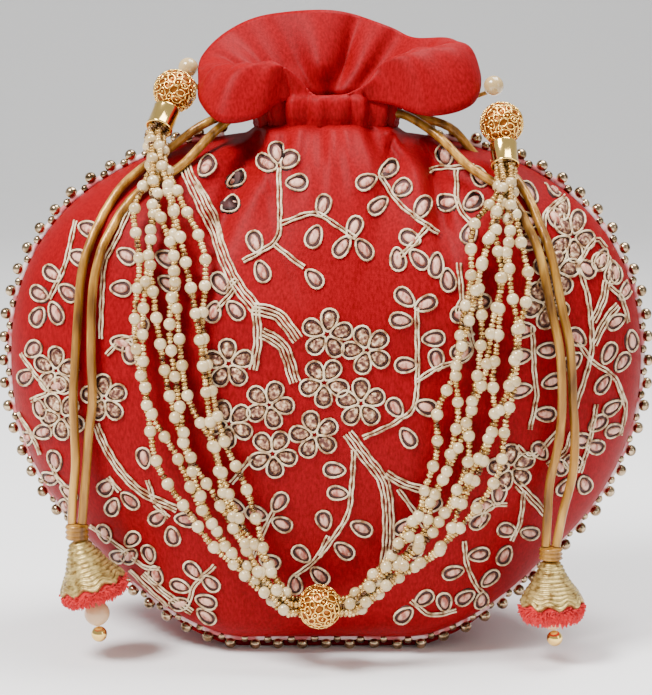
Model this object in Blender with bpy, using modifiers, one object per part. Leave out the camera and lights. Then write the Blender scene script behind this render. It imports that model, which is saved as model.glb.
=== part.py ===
"""Potli bag: a gathered silk drawstring pouch with a beaded handle and two tassels.

Metres, +Z up. The bag stands on the flat of its base at z = 0 and faces -Y.
Lengths below are in millimetres and are turned into metres where meshes are made.
"""

import math

import bmesh
import bpy
from mathutils import Matrix, Vector

MM = 0.001

# The pillow shape of the body, in mm.
BELLY_Z = 88.0  # height of the widest point
HALF_WIDTH = 103.5  # to the middle of the bead edging
ABOVE = 78.0  # from the widest point up to the neck
BELOW = 90.0  # and down, before the base flattens it
BULGE = 46.0  # how far each panel swells
SHOULDER_POWER = 2.35  # above 2 the shoulders are squarer than an ellipse
CLOTH = 1.8  # silk, wadding and lining together
GAP = 0.3  # left between pieces that touch

EDGE_BEAD = 3.4  # thickness of the bead edging
EDGE_STEP = 2.1  # from its middle to the cloth's edge

# The neck: a sewn channel that holds the drawstrings, and the frill above it.
NECK_X = 21.5
NECK_Y = 10.5
CHANNEL_LOW = 166.3
CHANNEL_HIGH = 174.3
CHANNEL_OUT = 1.7  # the channel's outer face stands this far off the neck's outline
CHANNEL_IN = -4.7
CHANNEL_WALL = 0.8
FRILL_CLOTH = 1.4

# Cords and strands.
CORD = 2.8
STRAND = 1.7
STRAND_PITCH = 2.5
STRANDS = 7

# The handle's pieces.
BALL_RADIUS = 7.0
LINK_RADIUS = 2.0
CAP_RADIUS = 4.3
CAP_LENGTH = 8.4
CAP_BORE = 3.7


def smooth(value):
    """A soft step from 0 to 1."""
    value = max(0.0, min(1.0, value))
    return value * value * (3.0 - 2.0 * value)


# ---------------------------------------------------------------- the body's surface


def edge_radius(angle):
    """Distance from the belly's middle to the middle of the bead edging."""
    across, up = math.cos(angle), math.sin(angle)
    if up >= 0:
        share = abs(across / HALF_WIDTH) ** SHOULDER_POWER + abs(up / ABOVE) ** SHOULDER_POWER
        return share ** (-1 / SHOULDER_POWER)
    radius = 1 / math.hypot(across / HALF_WIDTH, up / BELOW)
    floor = (BELLY_Z - EDGE_BEAD / 2 - 0.2) / -up
    return min(radius, floor)


def base_share(angle):
    """1 where the seam runs along the front of the base, 0 at the sides."""
    return smooth((-math.sin(angle) - 0.6) / 0.35)


def neck_share(angle):
    """1 under the neck, 0 at the sides."""
    return smooth((math.sin(angle) - 0.62) / 0.33)


def beside_neck(angle):
    """1 round the seam and 0 under the neck, where the panel ends at the channel."""
    return 1 - smooth((math.sin(angle) - 0.945) / 0.02)


def neck_depth(across):
    """Half depth of the neck's oval at a distance from its middle."""
    if abs(across) >= NECK_X:
        return 0.0
    return NECK_Y * math.sqrt(1 - (across / NECK_X) ** 2)


def front_point(angle, share, inset=0.0):
    """A point on the front panel: share is 0 at the belly's middle and 1 at the seam."""
    base, neck = base_share(angle), neck_share(angle)
    radius = edge_radius(angle) - (EDGE_STEP + inset) * beside_neck(angle)
    across = radius * math.cos(angle)
    edge = -21.0 * base - GAP / 2
    if math.sin(angle) > 0:
        edge = -max(neck_depth(across) - inset, GAP / 2)
    power, root = 2.6 - 0.6 * base, 0.5 + 0.3 * neck
    depth = edge * share**4 - (BULGE - inset) * (1 - share**power) ** root
    return Vector((share * across, depth, BELLY_Z + share * radius * math.sin(angle)))


def back_point(angle, share, inset=0.0):
    """A point on the back panel, which also makes the flat base."""
    base, neck = base_share(angle), neck_share(angle)
    turn = math.radians(132) * base
    step = EDGE_STEP * beside_neck(angle) + 0.75 * base
    radius = edge_radius(angle) - step * math.cos(turn) - inset * beside_neck(angle)
    across = radius * math.cos(angle)
    edge = (step * math.sin(turn) - 22.4 * base) * share**60 + GAP / 2
    if math.sin(angle) > 0:
        edge = max(neck_depth(across) - inset, GAP / 2) * share**4
    sag = smooth((0.25 - math.sin(angle)) / 1.25)
    power, root = 2.6 + 7.4 * sag**2, 0.5 + 0.3 * neck
    depth = edge + (BULGE - inset) * (1 - share**power) ** root
    # The middle of the base is pressed flat on the table, and its seam keeps its height.
    drop = 7.0 * base * smooth((share - 0.8) / 0.15) * smooth((1 - share) / 0.03)
    height = max(inset, BELLY_Z + share * radius * math.sin(angle) - drop)
    return Vector((share * across, depth, height))


def front_spot(across, height):
    """The place on the front panel nearest to a place on its outline."""
    angle = math.atan2(height - BELLY_Z, across)
    radius = edge_radius(angle) - EDGE_STEP * beside_neck(angle)
    return front_point(angle, min(math.hypot(across, height - BELLY_Z) / radius, 0.985))


def lies_on(across, height, lift):
    """A point at a distance off the front panel, seen from the front at the given place."""
    x, z = across, height
    for _step in range(10):
        spot = front_spot(x, z)
        sideways = front_spot(spot.x + 0.2, spot.z) - front_spot(spot.x - 0.2, spot.z)
        upward = front_spot(spot.x, spot.z + 0.2) - front_spot(spot.x, spot.z - 0.2)
        off = spot + sideways.cross(upward).normalized() * lift
        x += 0.6 * (across - off.x)
        z += 0.6 * (height - off.z)
    return off


# ---------------------------------------------------------------- making solids


def clear_scene():
    for old in list(bpy.data.objects):
        bpy.data.objects.remove(old, do_unlink=True)
    for old in list(bpy.data.collections):
        bpy.data.collections.remove(old)


def collection(name):
    made = bpy.data.collections.new(name)
    bpy.context.scene.collection.children.link(made)
    return made


def material(name, colour, roughness, metallic):
    made = bpy.data.materials.new(name)
    made.use_nodes = True
    shader = made.node_tree.nodes["Principled BSDF"]
    shader.inputs["Base Color"].default_value = (*colour, 1.0)
    shader.inputs["Roughness"].default_value = roughness
    shader.inputs["Metallic"].default_value = metallic
    return made


def add(name, data, look, where=None):
    made = bpy.data.objects.new(name, data)
    (where or BAG).objects.link(made)
    if look:
        made.data.materials.append(look)
    return made


def mesh_from(name, bm):
    bmesh.ops.recalc_face_normals(bm, faces=bm.faces)
    data = bpy.data.meshes.new(name)
    bm.to_mesh(data)
    bm.free()
    data.shade_smooth()
    return data


def fixed(made):
    """Turns an object with modifiers, or a curve, into a plain welded mesh."""
    evaluated = made.evaluated_get(bpy.context.evaluated_depsgraph_get())
    data = bpy.data.meshes.new_from_object(evaluated)
    bm = bmesh.new()
    bm.from_mesh(data)
    bmesh.ops.remove_doubles(bm, verts=bm.verts, dist=0.00001)
    bmesh.ops.recalc_face_normals(bm, faces=bm.faces)
    bm.to_mesh(data)
    bm.free()
    if made.type == "CURVE":
        name, looks, home = made.name, list(made.data.materials), made.users_collection[0]
        bpy.data.objects.remove(made, do_unlink=True)
        made = bpy.data.objects.new(name, data)
        home.objects.link(made)
        data.materials.clear()
        for look in looks:
            data.materials.append(look)
        return made
    made.modifiers.clear()
    made.data = data
    return made


def solidify(made, thickness, offset):
    change = made.modifiers.new("Cloth", "SOLIDIFY")
    change.thickness = thickness * MM
    change.offset = offset


def boolean(made, other, operation):
    change = made.modifiers.new("Join" if operation == "UNION" else "Cut", "BOOLEAN")
    change.object = other
    change.operation = operation


def sheet(rows, closed=False):
    """A quad sheet through rows of points in mm."""
    bm = bmesh.new()
    grid = [[bm.verts.new(point * MM) for point in row] for row in rows]
    count = len(rows[0])
    for lower, upper in zip(grid, grid[1:]):
        for i in range(count if closed else count - 1):
            j = (i + 1) % count
            bm.faces.new((lower[i], lower[j], upper[j], upper[i]))
    return bm


def smooth_path(points, count):
    """Points spread evenly along a smooth curve through the given ones."""
    points = [Vector(point) for point in points]
    ends = [2 * points[0] - points[1]] + points + [2 * points[-1] - points[-2]]
    fine = []
    for a, b, c, d in zip(ends, ends[1:], ends[2:], ends[3:]):
        for step in range(12):
            t = step / 12
            bend = 2 * b + (c - a) * t + (2 * a - 5 * b + 4 * c - d) * t * t
            fine.append(0.5 * (bend + (3 * b - a - 3 * c + d) * t**3))
    fine.append(points[-1])
    lengths = [0.0]
    for a, b in zip(fine, fine[1:]):
        lengths.append(lengths[-1] + (b - a).length)
    spread, i = [], 0
    for k in range(count):
        want = lengths[-1] * k / (count - 1)
        while i < len(fine) - 2 and lengths[i + 1] < want:
            i += 1
        spread.append(fine[i].lerp(fine[i + 1], (want - lengths[i]) / (lengths[i + 1] - lengths[i])))
    return spread


def tube(name, points, diameter, look, sides=2):
    curve = bpy.data.curves.new(name, "CURVE")
    curve.dimensions = "3D"
    curve.bevel_depth = diameter / 2 * MM
    curve.bevel_resolution = sides
    curve.use_fill_caps = True
    line = curve.splines.new("POLY")
    line.points.add(len(points) - 1)
    for spot, point in zip(line.points, points):
        spot.co = (*(point * MM), 1.0)
    return add(name, curve, look)


def turned(name, profile, look, place, lean=None, steps=20):
    """A profile of (radius, height) pairs in mm, closed on itself, turned about Z."""
    turns = zip(profile, profile[1:] + profile[:1])
    if sum(a[0] * b[1] - b[0] * a[1] for a, b in turns) > 0:
        profile = profile[::-1]
    bm = bmesh.new()
    spots = [bm.verts.new((radius * MM, 0, height * MM)) for radius, height in profile]
    for i, spot in enumerate(spots):
        bm.edges.new((spot, spots[(i + 1) % len(spots)]))
    data = bpy.data.meshes.new(name)
    bm.to_mesh(data)
    bm.free()
    made = add(name, data, look)
    screw = made.modifiers.new("Turn", "SCREW")
    screw.steps = screw.render_steps = steps
    screw.use_merge_vertices = True
    screw.merge_threshold = 0.00001
    made.location = Vector(place) * MM
    if lean:
        made.rotation_euler = lean
    return made


def sphere(name, radius, look, place):
    bm = bmesh.new()
    bmesh.ops.create_uvsphere(bm, u_segments=12, v_segments=8, radius=radius * MM)
    made = add(name, mesh_from(name, bm), look)
    made.location = Vector(place) * MM
    return made


# ---------------------------------------------------------------- the bag


def panel_angles():
    """Directions round a panel, closer together under the neck and along the base."""
    runs = ((70, 110, 8), (110, 206, 8), (206, 334, 22), (334, 430, 8))
    return [math.radians(a + (b - a) * i / count) for a, b, count in runs for i in range(count)]


def panel(name, point, shares, look):
    """One body panel, a swollen disc of cloth: its outer face, its edge and its lining."""
    angles = panel_angles()
    rows = [[point(angle, share) for angle in angles] for share in shares]
    rows += [[point(angle, share, CLOTH) for angle in angles] for share in reversed(shares)]
    bm = sheet(rows, closed=True)
    bm.verts.ensure_lookup_table()
    count = len(angles)
    for ring, inset in ((bm.verts[:count], 0.0), (bm.verts[-count:], CLOTH)):
        middle = bm.verts.new(point(0.0, 0.0, inset) * MM)
        for i, spot in enumerate(ring):
            bm.faces.new((middle, ring[(i + 1) % count], spot))
    return add(name, mesh_from(name, bm), look)


def oval(reach, height, count=40):
    """An oval ring that keeps a distance from the neck's outline."""
    turns = [math.tau * i / count for i in range(count)]
    wide, deep = NECK_X + reach, NECK_Y + reach
    return [Vector((wide * math.cos(t), deep * math.sin(t), height)) for t in turns]


def ring_solid(name, outer, inner, low, high, look, where=None):
    """A band round the neck with a rectangular section."""
    rows = [oval(outer, low), oval(outer, high), oval(inner, high), oval(inner, low)]
    bm = sheet(rows + rows[:1], closed=True)
    bmesh.ops.remove_doubles(bm, verts=bm.verts, dist=0.000001)
    return add(name, mesh_from(name, bm), look, where)


# The frill as ribs round the neck: direction in degrees, then the fold's middle and
# its rim in mm. It stands as a fan behind and flops forward in a lobe on each side.
FRILL_RIBS = [
    (0, (36, 0, 180), (47.6, 1, 183.5)),
    (22, (33, 7, 182), (40.3, 9, 191.2)),
    (45, (24, 9, 183), (28.4, 16, 192)),
    (66, (13, 13, 186), (19.5, 20, 195.8)),
    (88, (2, 14, 187), (2.6, 22, 200.6)),
    (110, (-11, 13, 187), (-18.8, 21, 199.3)),
    (134, (-19, 8, 184), (-31.6, 16, 194.2)),
    (158, (-28, 4, 180), (-39.6, 7, 186.2)),
    (180, (-30, -4, 177), (-39.8, -4, 180)),
    (205, (-30, -12, 174.8), (-39.2, -14, 175.5)),
    (225, (-26, -20, 173.5), (-32.2, -25, 168.2)),
    (240, (-20, -20, 175), (-26.4, -27.5, 167.5)),
    (252, (-12, -15, 178), (-17.5, -21.5, 171)),
    (264, (-5, -9.5, 178.5), (-7, -6.4, 179.5)),
    (276, (5, -9.5, 178.5), (7, -6.4, 179.5)),
    (290, (14, -14, 177.5), (19.5, -18.5, 173.6)),
    (304, (22, -17, 176), (29.5, -24.5, 171.6)),
    (318, (30, -16, 176.5), (37.7, -25, 171.2)),
    (340, (35, -8, 178), (46.5, -13, 174)),
]


def between_ribs(values, position):
    """A smooth value at a position round a closed list of vectors."""
    count = len(values)
    i = int(position) % count
    t = position - int(position)
    a, b, c, d = (values[(i + k) % count] for k in (-1, 0, 1, 2))
    bend = 2 * b + (c - a) * t + (2 * a - 5 * b + 4 * c - d) * t * t
    return 0.5 * (bend + (3 * b - a - 3 * c + d) * t**3)


def frill_rows(count=44, rows=5):
    """The frill's sheet, from inside the channel's top edge to the rim."""
    roots = []
    for degrees, _middle, _rim in FRILL_RIBS:
        turn = math.radians(degrees)
        wide, deep = NECK_X - 0.2, NECK_Y - 0.2
        roots.append(Vector((wide * math.cos(turn), deep * math.sin(turn), CHANNEL_HIGH - 0.05)))
    middles = [Vector(middle) for _degrees, middle, _rim in FRILL_RIBS]
    rims = [Vector(rim) for _degrees, _middle, rim in FRILL_RIBS]
    made = []
    for row in range(rows):
        t = row / (rows - 1)
        line = []
        for k in range(count):
            position = k * len(FRILL_RIBS) / count
            root, middle, rim = (between_ribs(v, position) for v in (roots, middles, rims))
            line.append((1 - t) ** 2 * root + 2 * t * (1 - t) * middle + t * t * rim)
        made.append(line)
    return made


def neck_frill(look):
    """Channel and frill, one strip of cloth: tunnel, two eyelets and the open throat."""
    made = ring_solid("neck_frill", CHANNEL_OUT, CHANNEL_IN, CHANNEL_LOW, CHANNEL_HIGH, look)
    tunnel = ring_solid("tunnel", CHANNEL_OUT - CHANNEL_WALL, CHANNEL_IN + CHANNEL_WALL,
                        CHANNEL_LOW + CHANNEL_WALL, CHANNEL_HIGH - CHANNEL_WALL, None, CUTTERS)
    boolean(made, tunnel, "DIFFERENCE")
    for side, height in ((-1, LOOP_HIGH), (1, LOOP_LOW)):
        bm = bmesh.new()
        bmesh.ops.create_cube(bm, size=1.0)
        size = Matrix.Diagonal((8 * MM, 9.6 * MM, 3.4 * MM, 1.0))
        place = Matrix.Translation(Vector((side * 22, -2.4, height)) * MM)
        bmesh.ops.transform(bm, matrix=place @ size, verts=bm.verts)
        eyelet = add("eyelet_cut", mesh_from("eyelet_cut", bm), None, CUTTERS)
        boolean(made, eyelet, "DIFFERENCE")
    frill = add("frill_sheet", mesh_from("frill_sheet", sheet(frill_rows(), closed=True)), None, CUTTERS)
    solidify(frill, FRILL_CLOTH, 0.0)
    frill = fixed(frill)
    boolean(made, frill, "UNION")
    return made


def bead_edging(look):
    """The row of beads sewn along the seam, as one round cord."""
    first, last = math.radians(66.5), math.radians(-246.5)
    points = []
    for i in range(81):
        angle = first + (last - first) * i / 80
        radius = edge_radius(angle)
        points.append(Vector((radius * math.cos(angle), -22.4 * base_share(angle),
                              BELLY_Z + radius * math.sin(angle))))
    return tube("bead_edging", smooth_path(points, 60), EDGE_BEAD, look)


# ---------------------------------------------------------------- drawstrings

LOOP_HIGH = 171.6
LOOP_LOW = 168.65
SWING_Z = 140.0  # where the cords leave the shoulder


def loop_route(side, height, upper, lower):
    """One drawstring: down one shoulder, round the channel and back out beside itself."""
    turns = [math.radians(-22 - 318 / 24 * i) for i in range(25)]
    middle = (CHANNEL_OUT + CHANNEL_IN) / 2
    ring = [((NECK_X + middle) * math.cos(t), (NECK_Y + middle) * math.sin(t)) for t in turns]
    ring.append((20.7, 0.4))
    route = [lies_on(*spot, 1.9) for spot in reversed(lower[1])]
    route += [Vector(spot) for spot in reversed(lower[0])]
    route += [Vector((side * x, y, height)) for x, y in ring]
    route += [Vector(spot) for spot in upper[0]]
    route += [lies_on(*spot, 1.9) for spot in upper[1]]
    return route


# Each shoulder run: first the free points, then the places where it lies on the cloth.
LEFT_UPPER = (((-24, -1.4, LOOP_HIGH), (-31, -4, 168.8), (-40, -6.2, 164.8)),
              ((-50, 157.5), (-58, 152), (-64, 146.5), (-68.6, SWING_Z)))
LEFT_LOWER = (((-24, -4.7, LOOP_HIGH), (-30, -8.6, 167.5), (-36, -13, 162.5)),
              ((-45, 153.5), (-54, 148.5), (-59.4, 144.4), (-61.4, 142.4)))
RIGHT_UPPER = (((24, -1.4, LOOP_LOW), (31, -4.6, 167.4), (40, -6.4, 164)),
               ((50, 157), (57, 151.5), (61.5, 146), (64.4, SWING_Z)))
RIGHT_LOWER = (((24, -4.7, LOOP_LOW), (30, -9.4, 165.8), (36, -14, 161.5)),
               ((44, 153.5), (52, 148.5), (56.4, 145), (58.4, 142.6)))

# The hanging stretches, from the shoulder to the knot.
HANGING = {
    "left": {
        "outer": ((-68.7, -23.4, 139.3), (-72.5, -28.4, 131), (-75.1, -31.4, 121.8), (-76.3, -34.4, 107.3),
                  (-77.3, -35.6, 92.5), (-77.9, -36, 82.4), (-77.5, -36, 63), (-78.6, -36, 52), (-79, -36, 43.8)),
        "inner": ((-63.6, -26.4, 139.3), (-67, -30.2, 133), (-69.3, -33, 127.5), (-71.4, -36, 116.4),
                  (-71.9, -38.2, 98.8), (-71.8, -38, 83), (-73.2, -37, 72), (-74, -36.2, 63), (-75.8, -36, 43.8)),
    },
    "right": {
        "outer": ((64.6, -26.6, 139.3), (68.8, -33, 127.8), (72.3, -37, 110.7), (74.8, -38.2, 98.7),
                  (75.8, -38.6, 82.8), (76.6, -38.2, 72), (76.2, -38, 60), (73.4, -38, 48), (71.4, -38, 37)),
        "inner": ((60.4, -28.8, 139.3), (65.2, -35, 127.8), (68.8, -38.8, 110.7), (71.4, -40.4, 98.7),
                  (72.3, -40.6, 82.8), (71.6, -39.4, 70), (69.2, -38, 57.4), (68.6, -38, 47), (68.2, -38, 37)),
    },
}

# Each tassel: bottom of its knot, lean of the bell, bell length and rim, fringe depth,
# ball and end bead heights.
TASSELS = {
    "left": dict(knot=(-77.4, -36, 38.6), turn=4.8, lean=-18, bell=13.6, rim=10.4, fringe=4.6,
                 ball=(-71.6, -36, 15.0), bead=(-71.0, -36, 8.3)),
    "right": dict(knot=(69.8, -38, 32.6), turn=4.0, lean=-2, bell=12.2, rim=9.8, fringe=5.8,
                  ball=(70.6, -38, 14.2), bead=(71.4, -38, 7.5)),
}


def tassel(side, cord_look, bell_look, fringe_look, ball_look, bead_look):
    """Knot, wound bell, chenille fringe, ball and end bead at the foot of two cords."""
    part = TASSELS[side]
    x, y, z = part["knot"]
    lean = (0, math.radians(part["lean"]), 0)
    tall = part["turn"]
    turned(f"cord_knot_{side}", [(0, 0), (2.9, 0), (3.5, 0.9), (3.5, tall - 0.9), (3.0, tall), (0, tall)],
           cord_look, part["knot"])
    long, rim = part["bell"], part["rim"]
    top = -GAP - 0.7
    outside = [(0, top), (2.6, top), (3.6, top - 1.6), (5.4, top - 5), (8.0, top - long * 0.72), (rim, top - long)]
    inside = [(rim - 1.1, top - long), (6.9, top - long * 0.72), (4.2, top - 5.4), (0, top - 3)]
    turned(f"tassel_bell_{side}", outside + inside, bell_look, (x, y, z), lean)
    low = top - long - GAP
    deep = part["fringe"]
    ring = [(4.8, low), (rim - 0.4, low), (rim + 0.2, low - deep * 0.45), (rim - 0.9, low - deep),
            (5.2, low - deep), (4.4, low - deep * 0.5)]
    turned(f"tassel_fringe_{side}", ring, fringe_look, (x, y, z), lean)
    sphere(f"tassel_ball_{side}", 3.9, ball_look, part["ball"])
    sphere(f"tassel_end_bead_{side}", 2.4, bead_look, part["bead"])


# ---------------------------------------------------------------- the handle

LINK = {"left": Vector((-43.8, 3, 183)), "right": Vector((52.8, -5, 177.6))}
END_BALL = {"left": Vector((-47.6, -5, 176.0)), "right": Vector((54.7, -15, 166.3))}
CAP_WAY = {"left": Vector((-0.29, -0.62, -0.73)), "right": Vector((0.035, -0.6, -0.8))}
CENTRE_BALL = Vector((-2.0, -50.0, 21.0))

# The middle of each bundle of strands below its cap: x, y, z and half its spread.
BUNDLE = {
    "left": ((-51.6, -26.5, 153.5, 3.6), (-50, -35, 142, 7.5), (-48.2, -41.5, 127, 11), (-47.4, -45.6, 106, 13),
             (-44.6, -47.4, 85, 13), (-39.6, -48.2, 69, 12), (-33.8, -48.6, 54, 10), (-27.6, -49.2, 42, 8),
             (-20.4, -50, 31.4, 5.4), (-15, -50, 25, 3.4)),
    "right": ((54.6, -33, 145, 3.8), (52.4, -39.6, 135, 7), (51, -43.4, 121, 9.6), (50, -45.6, 107, 11.2),
              (48, -47, 92, 12), (45.6, -47.6, 79, 11.6), (42.6, -48.2, 66, 10.4), (37, -48.6, 54, 9),
              (29.8, -49.2, 42, 7), (19.4, -50, 31.4, 5), (12, -50, 24.6, 3.4)),
}


def cap_point(side, distance):
    """A point on the line from an end ball through its cap."""
    return END_BALL[side] + CAP_WAY[side].normalized() * distance


def hexagon(k):
    """Place of strand k in a packed bundle, sorted from one side to the other."""
    half = STRAND_PITCH / 2
    tall = STRAND_PITCH * math.sqrt(3) / 2
    return ((-2 * half, 0), (-half, tall), (-half, -tall), (0, 0), (half, tall), (half, -tall), (2 * half, 0))[k]


def bundle_lift(height):
    """How far a strand's middle stays off the cloth: more where the cords pass under it."""
    return 2.3 + 3.4 * smooth((height - 134) / 10)


def strand_route(side, k):
    """Strand k of a side, from inside its cap to inside the centre ball."""
    mouth = BALL_RADIUS + GAP + CAP_LENGTH
    sign = -1 if side == "left" else 1
    stations = [(*cap_point(side, mouth - 2.6), 0), (*cap_point(side, mouth + 0.6), 0),
                (*cap_point(side, mouth + 3.2), 0)]
    stations += BUNDLE[side]
    stations += [(CENTRE_BALL.x + sign * reach, -50, rise, 0) for reach, rise in ((10, 21.3), (6, 21), (1.6, 21))]
    middle = [Vector(spot[:3]) for spot in stations]
    route = []
    for i, spot in enumerate(stations):
        before, after = middle[max(i - 1, 0)], middle[min(i + 1, len(middle) - 1)]
        along = (after - before).normalized()
        side_way = Vector((-along.z, 0, along.x)).normalized()
        out_way = along.cross(side_way).normalized()
        if out_way.y > 0:
            out_way = -out_way
        across, out = hexagon(k)
        fan = smooth((spot[3] - 3) / 4)
        across = across * (1 - fan) + (k - 3) / 3 * spot[3] * fan
        wanted = middle[i] + side_way * across + out_way * out * (1 - fan)
        if spot[3]:
            cloth = lies_on(wanted.x, wanted.z, bundle_lift(wanted.z) + (out + 2) * (1 - fan))
            wanted.y = min(wanted.y, cloth.y)
        route.append(wanted)
    return route


def hollow_ball(name, centre, along, hole, look):
    """A pierced bead: a thin shell with a hole at each end of its thread."""
    start = math.asin(hole / BALL_RADIUS)
    inner = BALL_RADIUS - 0.8
    begin = math.asin(hole / inner)
    outer_arc = [start + (math.pi - 2 * start) * i / 6 for i in range(7)]
    inner_arc = [begin + (math.pi - 2 * begin) * i / 6 for i in range(7)]
    profile = [(BALL_RADIUS * math.sin(t), BALL_RADIUS * math.cos(t)) for t in outer_arc]
    profile += [(inner * math.sin(t), inner * math.cos(t)) for t in reversed(inner_arc)]
    made = turned(name, profile, look, centre, steps=14)
    made.rotation_euler = Vector((0, 0, 1)).rotation_difference(along).to_euler()
    return made


def handle(pearl_look, gold_look, cap_look):
    """Two link pearls, three gold balls, two caps and fourteen strands of beads."""
    axle = bpy.data.objects.new("handle_axis", None)
    BAG.objects.link(axle)
    axle.location = LINK["left"] * MM
    pieces = []
    for side in ("left", "right"):
        pieces.append(sphere(f"link_pearl_{side}", LINK_RADIUS, pearl_look, LINK[side]))
        way = CAP_WAY[side].normalized()
        pieces.append(hollow_ball(f"end_ball_{side}", END_BALL[side], way, 1.6, gold_look))
        low = CAP_LENGTH
        cup = [(0, 0), (3.2, 0), (CAP_RADIUS, 0.8), (CAP_RADIUS, low), (CAP_BORE, low), (CAP_BORE, low - 4.6),
               (0, low - 4.6)]
        cap = turned(f"end_cap_{side}", cup, cap_look, cap_point(side, BALL_RADIUS + GAP), steps=16)
        cap.rotation_euler = Vector((0, 0, 1)).rotation_difference(way).to_euler()
        pieces.append(cap)
        for k in range(STRANDS):
            route = smooth_path(strand_route(side, k), 21)
            pieces.append(tube(f"strand_{side}_{k + 1}", route, STRAND, pearl_look))
    pieces.append(hollow_ball("centre_ball", CENTRE_BALL, Vector((1, 0, 0)), 4.3, gold_look))
    bpy.context.view_layer.update()
    for piece in pieces:
        piece.parent = axle
        piece.matrix_parent_inverse = axle.matrix_world.inverted()


def handle_anchor(side, look):
    """The stitched thread that ties a link pearl to the neck behind the frill."""
    if side == "left":
        route = ((-23.4, 1.8, 169), (-32, 6, 171), (-40.6, 8.6, 176), (-44.2, 6.6, 180.6))
    else:
        route = ((23.4, 1.8, 172), (33, 4.2, 171), (45, 4, 173), (53.4, -0.6, 176.2))
    return tube(f"handle_anchor_{side}", smooth_path(route, 12), 1.4, look)


# ---------------------------------------------------------------- assembly

clear_scene()
BAG = collection("potli_bag")
CUTTERS = collection("cutters")

SILK = material("red_silk", (0.45, 0.008, 0.02), 0.5, 0.0)
GOLD = material("filigree_gold", (0.83, 0.55, 0.2), 0.3, 1.0)
CAP_GOLD = material("polished_gold", (0.9, 0.62, 0.24), 0.15, 1.0)
CORD_GOLD = material("gold_cord", (0.6, 0.38, 0.1), 0.45, 0.0)
PEARL = material("pearl", (0.8, 0.72, 0.55), 0.25, 0.0)
EDGING = material("antique_beads", (0.5, 0.42, 0.32), 0.25, 1.0)
ZARI = material("zari_thread", (0.75, 0.62, 0.3), 0.4, 0.6)
CHENILLE = material("red_chenille", (0.75, 0.01, 0.02), 0.95, 0.0)

panel("front_panel", front_point, (0.2, 0.42, 0.62, 0.78, 0.89, 0.96, 1.0), SILK)
panel("back_panel", back_point, (0.25, 0.5, 0.7, 0.83, 0.92, 0.962, 0.98, 0.992, 1.0), SILK)
neck_frill(SILK)
bead_edging(EDGING)
tube("drawstring_left", smooth_path(loop_route(-1, LOOP_HIGH, LEFT_UPPER, LEFT_LOWER), 50), CORD, CORD_GOLD)
tube("drawstring_right", smooth_path(loop_route(1, LOOP_LOW, RIGHT_UPPER, RIGHT_LOWER), 50), CORD, CORD_GOLD)
for place in ("left", "right"):
    for run in ("outer", "inner"):
        tube(f"cord_{place}_{run}", smooth_path(HANGING[place][run], 16), CORD, CORD_GOLD)
    tassel(place, CORD_GOLD, ZARI, CHENILLE, PEARL, CAP_GOLD)
    handle_anchor(place, CORD_GOLD)
handle(PEARL, GOLD, CAP_GOLD)

for cutter in CUTTERS.objects:
    cutter.hide_render = True
    cutter.display_type = "WIRE"
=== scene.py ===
import math
import random

import bmesh
import bpy
from mathutils import Matrix, Vector


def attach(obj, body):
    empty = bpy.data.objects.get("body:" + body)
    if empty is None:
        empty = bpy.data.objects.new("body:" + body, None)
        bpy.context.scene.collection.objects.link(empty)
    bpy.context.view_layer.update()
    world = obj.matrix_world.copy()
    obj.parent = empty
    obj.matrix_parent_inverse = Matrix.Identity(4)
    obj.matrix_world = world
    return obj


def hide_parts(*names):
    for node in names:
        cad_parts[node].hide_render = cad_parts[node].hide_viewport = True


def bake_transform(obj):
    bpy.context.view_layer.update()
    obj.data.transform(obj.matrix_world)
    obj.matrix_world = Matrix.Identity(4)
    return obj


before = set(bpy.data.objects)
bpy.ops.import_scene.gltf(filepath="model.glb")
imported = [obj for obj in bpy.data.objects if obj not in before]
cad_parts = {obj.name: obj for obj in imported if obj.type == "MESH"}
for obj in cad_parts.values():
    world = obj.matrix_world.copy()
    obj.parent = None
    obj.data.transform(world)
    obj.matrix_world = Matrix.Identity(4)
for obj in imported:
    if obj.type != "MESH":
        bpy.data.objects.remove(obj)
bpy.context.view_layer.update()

# ================================================================ camera and stage
# The bag stands on a pale studio sweep, seen a little from above by a long lens.
# Daylight comes from the front and above, so the shadow under the belly stays soft.

MM = 0.001


def link(name, data, look=None):
    made = bpy.data.objects.new(name, data)
    bpy.context.scene.collection.objects.link(made)
    if look:
        data.materials.append(look)
    return made


camera = link("camera", bpy.data.cameras.new("camera"))
camera.data.lens = 120.4
camera.data.sensor_width = 36
camera.location = (0, -0.7408, 0.2107)
camera.rotation_euler = (math.radians(81), 0, 0)
bpy.context.scene.camera = camera


def plain(name, colour, roughness, metallic=0.0, coat=0.0):
    """A material with one colour, and the sockets that later sections feed."""
    made = bpy.data.materials.new(name)
    made.use_nodes = True
    shader = made.node_tree.nodes["Principled BSDF"]
    shader.inputs["Base Color"].default_value = (*colour, 1)
    shader.inputs["Roughness"].default_value = roughness
    shader.inputs["Metallic"].default_value = metallic
    shader.inputs["Coat Weight"].default_value = coat
    return made


def solid(name, bm, look):
    """An object from a mesh that is still being edited, smooth and with its faces outward."""
    data = bpy.data.meshes.new(name)
    bmesh.ops.recalc_face_normals(bm, faces=bm.faces)
    bm.to_mesh(data)
    bm.free()
    data.shade_smooth()
    return link(name, data, look)


def join_rows(bm, rows, closed=True):
    """Quads between rows of corners, each row closed into a ring or left open."""
    count = len(rows[0])
    for lower, upper in zip(rows, rows[1:]):
        for i in range(count if closed else count - 1):
            j = (i + 1) % count
            bm.faces.new((lower[i], lower[j], upper[j], upper[i]))


def sheet(rows, closed=False):
    """A quad sheet through rows of points in mm."""
    bm = bmesh.new()
    join_rows(bm, [[bm.verts.new(point * MM) for point in row] for row in rows], closed)
    return bm


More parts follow.
